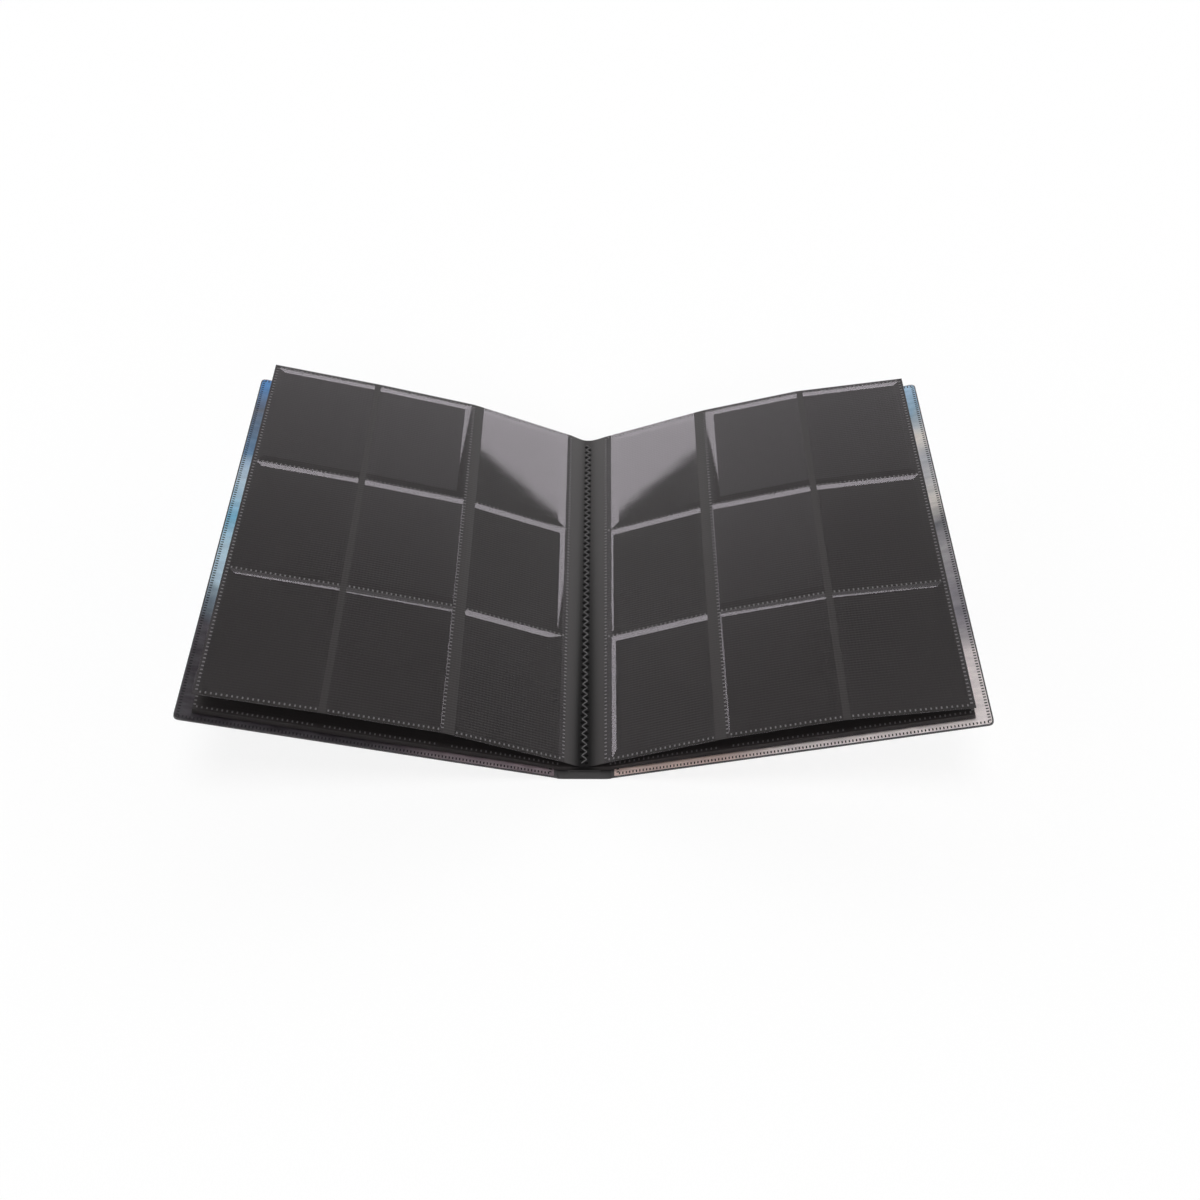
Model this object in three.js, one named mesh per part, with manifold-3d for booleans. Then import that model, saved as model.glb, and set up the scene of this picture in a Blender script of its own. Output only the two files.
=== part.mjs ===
// A side-loading card album, lying open in a shallow V: two printed covers hinged to a narrow spine,
// and ten pocket sheets nested and stitched down the gutter, so that each side has ten leaves.
// The uppermost leaf of each side stands clear of the nine below it.
// Units are millimetres. X runs across the open album, Y along the spine away from the reader, Z up.
// The origin is the middle of the spine's flat underside.

import * as THREE from "three";
import { mergeVertices } from "three/addons/utils/BufferGeometryUtils.js";
import Module from "manifold-3d";

// Pockets, three by three on each leaf, for cards of 63 by 88
const pocketWidth = 66;
const rowPitch = 93;
const rows = 3;
const leafMargin = 2;
const innerMouthBand = 6.4;
const outerMouthBand = 4.1;
const weldWidth = 1.2;
const rimWidth = 4.75;
const rimSteps = 3;
const frontPocketDepth = 0.5;
const backPocketDepth = 0.3;

// Sheets
const sheetCount = 10;
const coreThickness = 0.25;
const filmThickness = 0.1;
const stackLeafThickness = 0.3;
const stackPitch = 0.45;
const gutterPitch = 0.36;
const layerGap = 0.05;
const bendRelief = 0.2;
const rootFilmRelief = 1.2;
const backFilmRelief = 3;

// Covers
const coverForeMargin = 9.4;
const coverEndMargin = 4.8;
const coverCornerRadius = 3.5;
const boardThickness = 0.8;
const printThickness = 0.1;
const coverFilmThickness = 0.12;
const printInset = 0.8;
const panelStart = 1.6;
const foldBeadRadius = 0.45;

// Spine
const foldHalfDistance = 16.2;
const foldHeight = 1.32;
const outerStripThickness = 0.7;
const flatHalfWidth = 11.5;
const stripEdgeRise = 0.35;
const foldGap = 0.28;
const innerStripHalfWidth = 9.6;
const innerStripThickness = 0.8;
const innerStripRail = 0.45;
const railWidth = 1.6;
const spineArcSteps = 4;

// Gutter and the roots of the leaves
const gutterClearance = 0.275;
const leafHingeInset = 2.8;
const rootClearance = 0.1;
const rootGap = 0.5;
const rootRun = 0.8;
const stackClearance = 0.9;
const lowestFanLength = 12;
const highestFanLength = 40;
const fanSteps = 6;
const innerWeldReach = 13.3;
const valleyHalfWidth = 1.7;
const valleyBend = 3.9;
const valleySteps = 6;
const topHingeDistance = 11.6;

// Facets of the round forms
const cornerSteps = 4;
const beadSides = 12;

// Zigzag stitch
const stitchHalfWidth = 1.2;
const stitchPeriod = 5.3;
const stitchEndMargin = 2;
const threadRadius = 0.32;
const bobbinThreadRadius = 0.17;
const threadSides = 6;
const bobbinSides = 4;

// The two sides. The root rise is how far the uppermost sheet climbs from the gutter to its leaf's hinge.
// Hover is the height of the uppermost leaf over the stack's top face, at the end of its inner column,
// of its middle column, and at its outer edge.
const left = {
  name: "left",
  sign: -1,
  cover: "front_cover",
  coverAngle: 15,
  rootRise: 4.6,
  hover: [14.2, 14.9, 13.7],
};
const right = {
  name: "right",
  sign: 1,
  cover: "back_cover",
  coverAngle: 14,
  rootRise: 3.4,
  hover: [10.65, 12.1, 5.95],
};

// Worked-out sizes
const leafHeight = rows * rowPitch + 2 * leafMargin;
const facetLengths = [pocketWidth + innerMouthBand, pocketWidth, outerMouthBand + pocketWidth];
const leafReach = facetLengths.reduce((sum, length) => sum + length, 0) + leafMargin;
const leafEdgeOnCover = innerWeldReach - foldHalfDistance + leafReach;
const coverWidth = leafEdgeOnCover + coverForeMargin;
const coverHeight = leafHeight + 2 * coverEndMargin;
const coverHalfThickness = boardThickness / 2 + 2 * layerGap + printThickness + coverFilmThickness;
const innerStripUnderside = outerStripThickness + innerStripRail + layerGap;
const innerStripTop = innerStripUnderside + innerStripThickness;
const lowestGutterSheet = innerStripTop + gutterClearance + coreThickness / 2;
const gutterHalfHeight = ((sheetCount - 1) * gutterPitch) / 2;
const leafHinge = {
  x: foldHalfDistance - leafHingeInset,
  z: lowestGutterSheet + gutterHalfHeight,
};
const leafRootRadius = gutterHalfHeight + coreThickness / 2 + rootClearance;
const gutterRootRadius = leafRootRadius + rootGap;
const stackTop =
  coverHalfThickness + stackClearance + (sheetCount - 2) * stackPitch + stackLeafThickness;

// Finishes
const finish = {
  board: new THREE.MeshStandardMaterial({ color: 0x4a4849, roughness: 0.6, metalness: 0 }),
  print: new THREE.MeshStandardMaterial({ color: 0x8c8fa0, roughness: 0.5, metalness: 0 }),
  film: new THREE.MeshStandardMaterial({ color: 0xb9b6b8, roughness: 0.2, metalness: 0 }),
  spine: new THREE.MeshStandardMaterial({ color: 0x484848, roughness: 0.45, metalness: 0 }),
  core: new THREE.MeshStandardMaterial({ color: 0x413e3e, roughness: 0.55, metalness: 0 }),
  thread: new THREE.MeshStandardMaterial({ color: 0x5c5a5b, roughness: 0.7, metalness: 0 }),
};

const wasm = await Module();
wasm.setup();

const album = new THREE.Group();

function addPiece(parent, name, geometry, material) {
  const mesh = new THREE.Mesh(geometry, material);
  mesh.name = name;
  parent.add(mesh);
  return mesh;
}

function twoDigits(number) {
  return String(number).padStart(2, "0");
}

// Booleans on closed geometries. Corners closer than the tolerance are one corner.

const mergeTolerance = 1e-4;

function solidOf(geometry) {
  const bare = geometry.clone();
  bare.deleteAttribute("normal");
  bare.deleteAttribute("uv");
  const merged = mergeVertices(bare, mergeTolerance);
  return new wasm.Manifold(
    new wasm.Mesh({
      numProp: 3,
      vertProperties: new Float32Array(merged.attributes.position.array),
      triVerts: new Uint32Array(merged.index.array),
    }),
  );
}

function geometryOf(solid) {
  const mesh = solid.getMesh();
  const geometry = new THREE.BufferGeometry();
  geometry.setAttribute("position", new THREE.BufferAttribute(mesh.vertProperties, 3));
  geometry.setIndex(new THREE.BufferAttribute(mesh.triVerts, 1));
  geometry.computeVertexNormals();
  return geometry;
}

// A section drawn in X and Z, run along Y over the given length and centred on Y = 0.
function runAlongSpine(sectionPoints, length) {
  const shape = new THREE.Shape(sectionPoints);
  const geometry = new THREE.ExtrudeGeometry(shape, { depth: length, bevelEnabled: false });
  geometry.translate(0, 0, -length / 2);
  geometry.rotateX(Math.PI / 2);
  return geometry;
}

// The closed section of a sheet of one thickness whose middle follows the given points.
function sheetSection(points, thickness) {
  const upper = [];
  const lower = [];
  points.forEach((point, i) => {
    const before = points[Math.max(i - 1, 0)];
    const after = points[Math.min(i + 1, points.length - 1)];
    const into = point.clone().sub(before).normalize();
    const out = after.clone().sub(point).normalize();
    if (i === 0) into.copy(out);
    if (i === points.length - 1) out.copy(into);
    const along = into.clone().add(out).normalize();
    const half = thickness / 2 / along.dot(into);
    const normal = new THREE.Vector2(-along.y, along.x).multiplyScalar(half);
    upper.push(point.clone().add(normal));
    lower.push(point.clone().sub(normal));
  });
  const section = [...lower, ...upper.reverse()];
  return THREE.ShapeUtils.isClockWise(section) ? section.reverse() : section;
}

// A point given along and above a cover's mid plane, from its fold, turned into X and Z.
function fromCoverPlane(side, along, above) {
  const angle = THREE.MathUtils.degToRad(side.coverAngle);
  const outward = foldHalfDistance + along * Math.cos(angle) - above * Math.sin(angle);
  const height = foldHeight + along * Math.sin(angle) + above * Math.cos(angle);
  return new THREE.Vector2(side.sign * outward, height);
}

// The same the other way round, for a point given by its distance from the centre line and its height.
function toCoverPlane(side, outward, height) {
  const angle = THREE.MathUtils.degToRad(side.coverAngle);
  const across = outward - foldHalfDistance;
  const up = height - foldHeight;
  return {
    along: across * Math.cos(angle) + up * Math.sin(angle),
    above: up * Math.cos(angle) - across * Math.sin(angle),
  };
}

// Heights in the gutter. Sheet 1 is the uppermost.

function gutterSheetHeight(sheet) {
  return lowestGutterSheet + (sheetCount - sheet) * gutterPitch;
}

// How far from the centre line a round of the given radius about the leaf hinge meets a sheet.
function reachOfRound(radius, sheet) {
  const offset = Math.abs(gutterSheetHeight(sheet) - leafHinge.z) + coreThickness / 2;
  return leafHinge.x - Math.sqrt(radius * radius - offset * offset);
}

// The level start of a leaf, from inside the round at the hinge to just outside it.
function leafRoot(side, sheet) {
  const height = gutterSheetHeight(sheet);
  const start = new THREE.Vector2(side.sign * reachOfRound(leafRootRadius, sheet), height);
  const end = new THREE.Vector2(side.sign * (leafHinge.x + rootRun), height);
  return [start, end];
}

// Spine

function outerStripSection() {
  const edge = foldHalfDistance - foldBeadRadius - foldGap;
  const run = edge - flatHalfWidth;
  const radius = (run * run + stripEdgeRise * stripEdgeRise) / (2 * stripEdgeRise);
  const sweep = Math.asin(run / radius);
  const underside = [];
  for (let step = 0; step <= spineArcSteps; step++) {
    const angle = (sweep * step) / spineArcSteps;
    underside.push(
      new THREE.Vector2(flatHalfWidth + radius * Math.sin(angle), radius * (1 - Math.cos(angle))),
    );
  }
  const topside = underside.map((point) => new THREE.Vector2(point.x, point.y + outerStripThickness));
  const mirrored = (points) => points.map((point) => new THREE.Vector2(-point.x, point.y));
  return [
    ...mirrored(underside).reverse(),
    ...underside,
    ...topside.slice().reverse(),
    ...mirrored(topside),
  ];
}

function innerStripSection() {
  const outer = innerStripHalfWidth;
  const rail = innerStripHalfWidth - railWidth;
  const foot = outerStripThickness + layerGap;
  return [
    new THREE.Vector2(-outer, foot),
    new THREE.Vector2(-rail, foot),
    new THREE.Vector2(-rail, innerStripUnderside),
    new THREE.Vector2(rail, innerStripUnderside),
    new THREE.Vector2(rail, foot),
    new THREE.Vector2(outer, foot),
    new THREE.Vector2(outer, innerStripTop),
    new THREE.Vector2(-outer, innerStripTop),
  ];
}

function addSpine() {
  addPiece(album, "spine_outer_strip", runAlongSpine(outerStripSection(), coverHeight), finish.spine);
  addPiece(album, "spine_inner_strip", runAlongSpine(innerStripSection(), leafHeight), finish.spine);
}

// The uppermost sheet climbs on both sides from its level middle to the hinges of its leaves.
function valleyCurve(side) {
  const height = gutterSheetHeight(1);
  return new THREE.QuadraticBezierCurve(
    new THREE.Vector2(side.sign * valleyHalfWidth, height),
    new THREE.Vector2(side.sign * valleyBend, height),
    new THREE.Vector2(side.sign * topHingeDistance, height + side.rootRise),
  );
}

// One side of that sheet as it stays in the gutter, ending just short of the hinge.
function valleySide(side) {
  const points = valleyCurve(side).getPoints(valleySteps);
  const hinge = points[valleySteps];
  const back = points[valleySteps - 1].clone().sub(hinge).setLength(rootGap);
  points[valleySteps] = hinge.clone().add(back);
  return points;
}

function levelFold(sheet) {
  const reach = reachOfRound(gutterRootRadius, sheet);
  const height = gutterSheetHeight(sheet);
  return [new THREE.Vector2(-reach, height), new THREE.Vector2(reach, height)];
}

function addGutterFolds() {
  for (let sheet = 1; sheet <= sheetCount; sheet++) {
    const risen = sheet === 1;
    const middle = risen ? [...valleySide(left).reverse(), ...valleySide(right)] : levelFold(sheet);
    const geometry = runAlongSpine(sheetSection(middle, coreThickness), leafHeight);
    addPiece(album, "gutter_fold_" + twoDigits(sheet), geometry, finish.core);
  }
}

// A thread that zigzags along the spine at one height. Its ring at each turn lies square to Y,
// and is wider across so that the thread keeps its thickness on the slant.
function zigzagThread(radius, sides, height) {
  const halfPeriods = Math.floor((leafHeight - 2 * stitchEndMargin) / (stitchPeriod / 2));
  const slant = Math.atan2(2 * stitchHalfWidth, stitchPeriod / 2);
  const start = (-halfPeriods * stitchPeriod) / 4;
  const positions = [];
  for (let turn = 0; turn <= halfPeriods; turn++) {
    const x = turn % 2 === 0 ? -stitchHalfWidth : stitchHalfWidth;
    const y = start + (turn * stitchPeriod) / 2;
    for (let corner = 0; corner < sides; corner++) {
      const angle = (2 * Math.PI * (corner + 0.5)) / sides;
      const across = (radius * Math.cos(angle)) / Math.cos(slant);
      positions.push(x + across, y, height + radius * Math.sin(angle));
    }
  }
  const faces = [];
  for (let turn = 0; turn < halfPeriods; turn++) {
    for (let corner = 0; corner < sides; corner++) {
      const next = (corner + 1) % sides;
      const a = turn * sides + corner;
      const b = turn * sides + next;
      faces.push(a, a + sides, b, b, a + sides, b + sides);
    }
  }
  const last = halfPeriods * sides;
  for (let corner = 1; corner < sides - 1; corner++) {
    faces.push(0, corner, corner + 1);
    faces.push(last, last + corner + 1, last + corner);
  }
  const geometry = new THREE.BufferGeometry();
  geometry.setAttribute("position", new THREE.Float32BufferAttribute(positions, 3));
  geometry.setIndex(faces);
  geometry.computeVertexNormals();
  return geometry;
}

function addStitching() {
  const sheetTop = gutterSheetHeight(1) + coreThickness / 2;
  const topThread = zigzagThread(threadRadius, threadSides, sheetTop + layerGap + threadRadius);
  const underHeight = innerStripUnderside - layerGap - bobbinThreadRadius;
  const underThread = zigzagThread(bobbinThreadRadius, bobbinSides, underHeight);
  addPiece(album, "stitch_thread", topThread, finish.thread);
  addPiece(album, "bobbin_thread", underThread, finish.thread);
}

// Covers

// A cover's outline seen square on, from a line near the fold to the fore edge, round at its two corners.
function coverOutline(side, start, inset) {
  const near = side.sign * start;
  const far = side.sign * (coverWidth - inset);
  const half = coverHeight / 2 - inset;
  const radius = coverCornerRadius - Math.min(inset, coverCornerRadius / 2);
  const shape = new THREE.Shape();
  shape.moveTo(near, -half);
  shape.lineTo(far - side.sign * radius, -half);
  shape.quadraticCurveTo(far, -half, far, -half + radius);
  shape.lineTo(far, half - radius);
  shape.quadraticCurveTo(far, half, far - side.sign * radius, half);
  shape.lineTo(near, half);
  shape.closePath();
  return shape;
}

function coverLayer(side, start, inset, bottom, thickness) {
  const outline = coverOutline(side, start, inset);
  const options = { depth: thickness, bevelEnabled: false, curveSegments: cornerSteps };
  const geometry = new THREE.ExtrudeGeometry(outline, options);
  geometry.translate(0, 0, bottom);
  return geometry;
}

function coverBoard(side) {
  const plate = coverLayer(side, 0, 0, -boardThickness / 2, boardThickness);
  const bead = new THREE.CylinderGeometry(foldBeadRadius, foldBeadRadius, coverHeight, beadSides);
  return geometryOf(solidOf(plate).add(solidOf(bead)));
}

function addCover(side) {
  const group = new THREE.Group();
  group.position.set(side.sign * foldHalfDistance, 0, foldHeight);
  group.rotation.y = -side.sign * THREE.MathUtils.degToRad(side.coverAngle);
  album.add(group);
  const printStart = boardThickness / 2 + layerGap;
  const filmStart = printStart + printThickness + layerGap;
  const printLayer = (bottom) => coverLayer(side, panelStart, printInset, bottom, printThickness);
  const filmLayer = (bottom) => coverLayer(side, panelStart, 0, bottom, coverFilmThickness);
  addPiece(group, side.cover + "_board", coverBoard(side), finish.board);
  addPiece(group, side.cover + "_print_inside", printLayer(printStart), finish.print);
  addPiece(group, side.cover + "_film_inside", filmLayer(filmStart), finish.film);
  addPiece(group, side.cover + "_print_outside", printLayer(-printStart - printThickness), finish.print);
  addPiece(group, side.cover + "_film_outside", filmLayer(-filmStart - coverFilmThickness), finish.film);
}

// Leaves of the stack

// A leaf fans up from its place in the gutter and then lies level with the cover.
function stackLeafPath(side, sheet) {
  const root = leafRoot(side, sheet);
  const from = toCoverPlane(side, leafHinge.x + rootRun, gutterSheetHeight(sheet));
  const lying = coverHalfThickness + stackClearance + stackLeafThickness / 2;
  const above = lying + (sheetCount - sheet) * stackPitch;
  const rank = (sheetCount - sheet) / (sheetCount - 2);
  const fanLength = THREE.MathUtils.lerp(lowestFanLength, highestFanLength, rank);
  const fan = [];
  for (let step = 1; step <= fanSteps; step++) {
    const share = step / fanSteps;
    const eased = THREE.MathUtils.smoothstep(share, 0, 1);
    const along = THREE.MathUtils.lerp(from.along, fanLength, share);
    fan.push(fromCoverPlane(side, along, THREE.MathUtils.lerp(from.above, above, eased)));
  }
  return [...root, ...fan, fromCoverPlane(side, leafEdgeOnCover, above)];
}

function addStack(side) {
  for (let sheet = 2; sheet <= sheetCount; sheet++) {
    const section = sheetSection(stackLeafPath(side, sheet), stackLeafThickness);
    const name = side.name + "_leaf_" + twoDigits(sheet);
    addPiece(album, name, runAlongSpine(section, leafHeight), finish.core);
  }
}

// Uppermost leaves

// How far along the uppermost leaf, from its hinge, its inner weld lies.
function weldFromHinge(side) {
  return innerWeldReach - valleyHalfWidth - valleyCurve(side).getLength();
}

// The break lines of the uppermost leaf: its hinge, and where each facet ends.
function topLeafBreaks(side) {
  const start = valleyCurve(side).getPoint(1);
  const breaks = [start];
  let place = toCoverPlane(side, Math.abs(start.x), start.y);
  const lengths = [
    weldFromHinge(side) + facetLengths[0],
    facetLengths[1],
    facetLengths[2] + leafMargin,
  ];
  lengths.forEach((length, i) => {
    const above = stackTop + side.hover[i];
    const rise = above - place.above;
    place = { along: place.along + Math.sqrt(length * length - rise * rise), above };
    breaks.push(fromCoverPlane(side, place.along, above));
  });
  return breaks;
}

// A sheet over a grid of X and Y stations, between a lower and an upper height at each.
function griddedSheet(xs, ys, lowerAt, upperAt) {
  const positions = [];
  const faces = [];
  const across = xs.length;
  const layer = across * ys.length;
  [lowerAt, upperAt].forEach((heightAt) => {
    ys.forEach((y) => xs.forEach((x) => positions.push(x, y, heightAt(x, y))));
  });
  const quad = (a, b, c, d) => faces.push(a, b, c, a, c, d);
  for (let row = 0; row < ys.length - 1; row++) {
    for (let column = 0; column < across - 1; column++) {
      const a = row * across + column;
      quad(a, a + across, a + across + 1, a + 1);
      quad(layer + a, layer + a + 1, layer + a + across + 1, layer + a + across);
    }
  }
  for (let column = 0; column < across - 1; column++) {
    const far = (ys.length - 1) * across + column;
    quad(column, column + 1, layer + column + 1, layer + column);
    quad(far + 1, far, layer + far, layer + far + 1);
  }
  for (let row = 0; row < ys.length - 1; row++) {
    const start = row * across;
    const end = start + across - 1;
    quad(start + across, start, layer + start, layer + start + across);
    quad(end, end + across, layer + end + across, layer + end);
  }
  const geometry = new THREE.BufferGeometry();
  geometry.setAttribute("position", new THREE.Float32BufferAttribute(positions, 3));
  geometry.setIndex(faces);
  geometry.computeVertexNormals();
  return geometry;
}

// One column of pockets: a film welded down along three sides of each pocket and open at the mouth,
// that rises from its welds to the pocket's level middle.
// weldEdge and mouthEdge are measured along the facet; face is +1 on the leaf's upper side, -1 below.
function pocketStrip(side, weldEdge, mouthEdge, weldMargin, face) {
  const inward = Math.sign(mouthEdge - weldEdge);
  const rimStart = weldEdge + inward * (weldMargin + weldWidth);
  const rimStations = [];
  for (let step = 0; step <= rimSteps; step++) rimStations.push((rimWidth * step) / rimSteps);
  const across = [weldEdge, ...rimStations.map((run) => rimStart + inward * run), mouthEdge];
  const xs = across.map((x) => side.sign * x).sort((a, b) => a - b);
  const rowStart = -leafHeight / 2 + leafMargin;
  const ys = [-leafHeight / 2];
  for (let row = 0; row < rows; row++) {
    const near = rowStart + row * rowPitch + weldWidth / 2;
    const far = rowStart + (row + 1) * rowPitch - weldWidth / 2;
    ys.push(...rimStations.map((run) => near + run));
    ys.push(...rimStations.map((run) => far - run).reverse());
  }
  ys.push(leafHeight / 2);
  const depth = face > 0 ? frontPocketDepth : backPocketDepth;
  const base = coreThickness / 2 + layerGap;
  const fromRowWeld = (y) => {
    const place = THREE.MathUtils.euclideanModulo(y - rowStart, rowPitch);
    const fromLastWeld = -rowStart - Math.abs(y);
    return Math.min(place, rowPitch - place, fromLastWeld) - weldWidth / 2;
  };
  const under = (x, y) => {
    const run = Math.min(inward * (Math.abs(x) - rimStart), fromRowWeld(y));
    return base + depth * THREE.MathUtils.smoothstep(run, 0, rimWidth);
  };
  const over = (x, y) => under(x, y) + filmThickness;
  if (face > 0) return griddedSheet(xs, ys, under, over);
  return griddedSheet(xs, ys, (x, y) => -over(x, y), (x, y) => -under(x, y));
}

function facetGroup(side, start, end) {
  const group = new THREE.Group();
  const rise = Math.atan2(end.y - start.y, Math.abs(end.x - start.x));
  group.position.set(start.x, 0, start.y);
  group.rotation.y = -side.sign * rise;
  album.add(group);
  return group;
}

function addTopLeaf(side) {
  const breaks = topLeafBreaks(side);
  const section = sheetSection(breaks, coreThickness);
  const prefix = side.name + "_top_leaf_";
  addPiece(album, prefix + "core", runAlongSpine(section, leafHeight), finish.core);
  const strips = [
    {
      column: "inner",
      weldEdge: rootFilmRelief,
      mouthEdge: weldFromHinge(side) + pocketWidth,
      margin: 0,
      relief: backFilmRelief,
    },
    { column: "middle", weldEdge: bendRelief, mouthEdge: pocketWidth, margin: 0, relief: 0 },
    {
      column: "outer",
      weldEdge: outerMouthBand + pocketWidth + leafMargin,
      mouthEdge: outerMouthBand,
      margin: leafMargin - weldWidth / 2,
      relief: 0,
    },
  ];
  strips.forEach(({ column, weldEdge, mouthEdge, margin, relief }, facet) => {
    const group = facetGroup(side, breaks[facet], breaks[facet + 1]);
    const front = pocketStrip(side, weldEdge, mouthEdge, margin, 1);
    const back = pocketStrip(side, weldEdge + relief, mouthEdge, margin, -1);
    addPiece(group, prefix + column + "_pockets_front", front, finish.film);
    addPiece(group, prefix + column + "_pockets_back", back, finish.film);
  });
}

addSpine();
addGutterFolds();
addStitching();
[left, right].forEach((side) => {
  addCover(side);
  addStack(side);
  addTopLeaf(side);
});

export default album;
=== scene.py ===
# %% [markdown]
# # A side-loading card album, lying open
#
# The album has two printed covers, a narrow spine, and ten pocket sheets that are nested and stitched
# down the gutter. It lies on its spine, so that the covers and leaves rise to both sides in a shallow V.
# It could be modelled by eye, but it has to fit a CAD model and move with it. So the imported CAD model
# is the frame: it gives the sizes, places and hinges, and the pieces made here are laid on it.

# %% The frame
import math

import bpy
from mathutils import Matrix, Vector


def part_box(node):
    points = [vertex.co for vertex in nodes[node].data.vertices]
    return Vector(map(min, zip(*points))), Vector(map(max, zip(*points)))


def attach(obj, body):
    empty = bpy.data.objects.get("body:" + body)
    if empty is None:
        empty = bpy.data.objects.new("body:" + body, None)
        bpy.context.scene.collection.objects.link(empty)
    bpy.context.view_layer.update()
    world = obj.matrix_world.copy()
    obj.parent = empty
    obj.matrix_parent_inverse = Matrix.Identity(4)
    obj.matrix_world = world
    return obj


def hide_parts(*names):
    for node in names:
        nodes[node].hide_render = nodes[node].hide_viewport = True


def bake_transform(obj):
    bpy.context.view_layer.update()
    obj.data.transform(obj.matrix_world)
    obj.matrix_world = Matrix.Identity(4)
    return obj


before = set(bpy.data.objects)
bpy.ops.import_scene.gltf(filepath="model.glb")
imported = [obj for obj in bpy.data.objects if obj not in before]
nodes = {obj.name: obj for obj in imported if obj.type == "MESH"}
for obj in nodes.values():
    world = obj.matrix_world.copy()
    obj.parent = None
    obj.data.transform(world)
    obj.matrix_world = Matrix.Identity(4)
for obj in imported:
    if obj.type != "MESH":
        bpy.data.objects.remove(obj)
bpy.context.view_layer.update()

MM = 0.001

# %% [markdown]
# ## Camera
#
# The photograph was taken from a little above the near edge, with a lens slightly longer than normal.
# A camera could be turned by hand until the picture looks right. These values come instead from fitting
# a pinhole camera to the corners of the covers and the lines of welds, whose real places are known.

# %% Camera
PHOTO_SIZE = 1200
FOCAL_LENGTH_PX = 1357.7
SENSOR_WIDTH_MM = 36
CAMERA_PLACE = Vector((10.6, -593.6, 657.4)) * MM
CAMERA_ELEVATION = math.radians(48.25)
CAMERA_YAW = math.radians(0.17)

bpy.ops.object.camera_add(
    location=CAMERA_PLACE,
    rotation=(math.pi / 2 - CAMERA_ELEVATION, 0, CAMERA_YAW),
)
camera = bpy.context.object
camera.data.sensor_width = SENSOR_WIDTH_MM
camera.data.lens = SENSOR_WIDTH_MM * FOCAL_LENGTH_PX / PHOTO_SIZE
camera.data.clip_start = 0.01
camera.data.clip_end = 60
bpy.context.scene.camera = camera
print("lens:", round(camera.data.lens, 2), "mm")

# %% [markdown]
# ## Shader maths as Python sums
#
# A material in Blender is a tree of nodes. It could be drawn by hand in the shader editor, but a script
# has to write it, and node by node that is hard to read. So one small class stands for a value in the
# tree and lets Python's own operators add the Math nodes.


# %% A value in a node tree
class Wire:
    """A value somewhere in a node tree, which can be used in sums."""

    def __init__(self, tree, socket):
        self.tree = tree
        self.socket = socket

    def maths(self, operation, *values):
        return self.tree.node("ShaderNodeMath", {"operation": operation}, dict(enumerate(values)))

    def __add__(self, other):
        return self.maths("ADD", self, other)

    def __sub__(self, other):
        return self.maths("SUBTRACT", self, other)

    def __mul__(self, other):
        return self.maths("MULTIPLY", self, other)

    def __truediv__(self, other):
        return self.maths("DIVIDE", self, other)

    def __pow__(self, other):
        return self.maths("POWER", self, other)

    def __abs__(self):
        return self.maths("ABSOLUTE", self)

    def sine(self):
        return self.maths("SINE", self)


# %% [markdown]
# ## One method for every node
#
# All other nodes are made by one method, which takes the node's type, its settings and the values of its
# sockets. A value can be a number, a colour or a wire from another node, and the method tells them apart.


# %% Any node
class NodeTree:
    """The node tree of a material or a world, with one method that adds any node."""

    def __init__(self, owner):
        owner.use_nodes = True
        self.owner = owner
        self.nodes = owner.node_tree.nodes
        self.links = owner.node_tree.links
        self.nodes.clear()

    def node(self, kind, settings=None, sockets=None, output=0):
        made = self.nodes.new(kind)
        for name, value in (settings or {}).items():
            setattr(made, name, value)
        for name, value in (sockets or {}).items():
            if isinstance(value, Wire):
                self.links.new(value.socket, made.inputs[name])
            else:
                made.inputs[name].default_value = value
        return Wire(self, made.outputs[output])

    def end(self, shader, kind="ShaderNodeOutputMaterial"):
        """Ends the tree in its output node."""
        self.links.new(shader.socket, self.nodes.new(kind).inputs["Surface"])
        return self.owner


def plain(colour):
    """A colour with the alpha that a colour socket wants."""
    return (*colour, 1)


def shaded(colour, factor):
    return plain([channel * factor for channel in colour])


def grey(level):
    return plain((level,) * 3)


# %% [markdown]
# ## Nodes that come back
#
# A few nodes are needed in nearly every finish: where a point is, noise, a soft step, a mix of colours and
# bump. Each gets a short method, so that a finish further down reads as a recipe.


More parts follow.
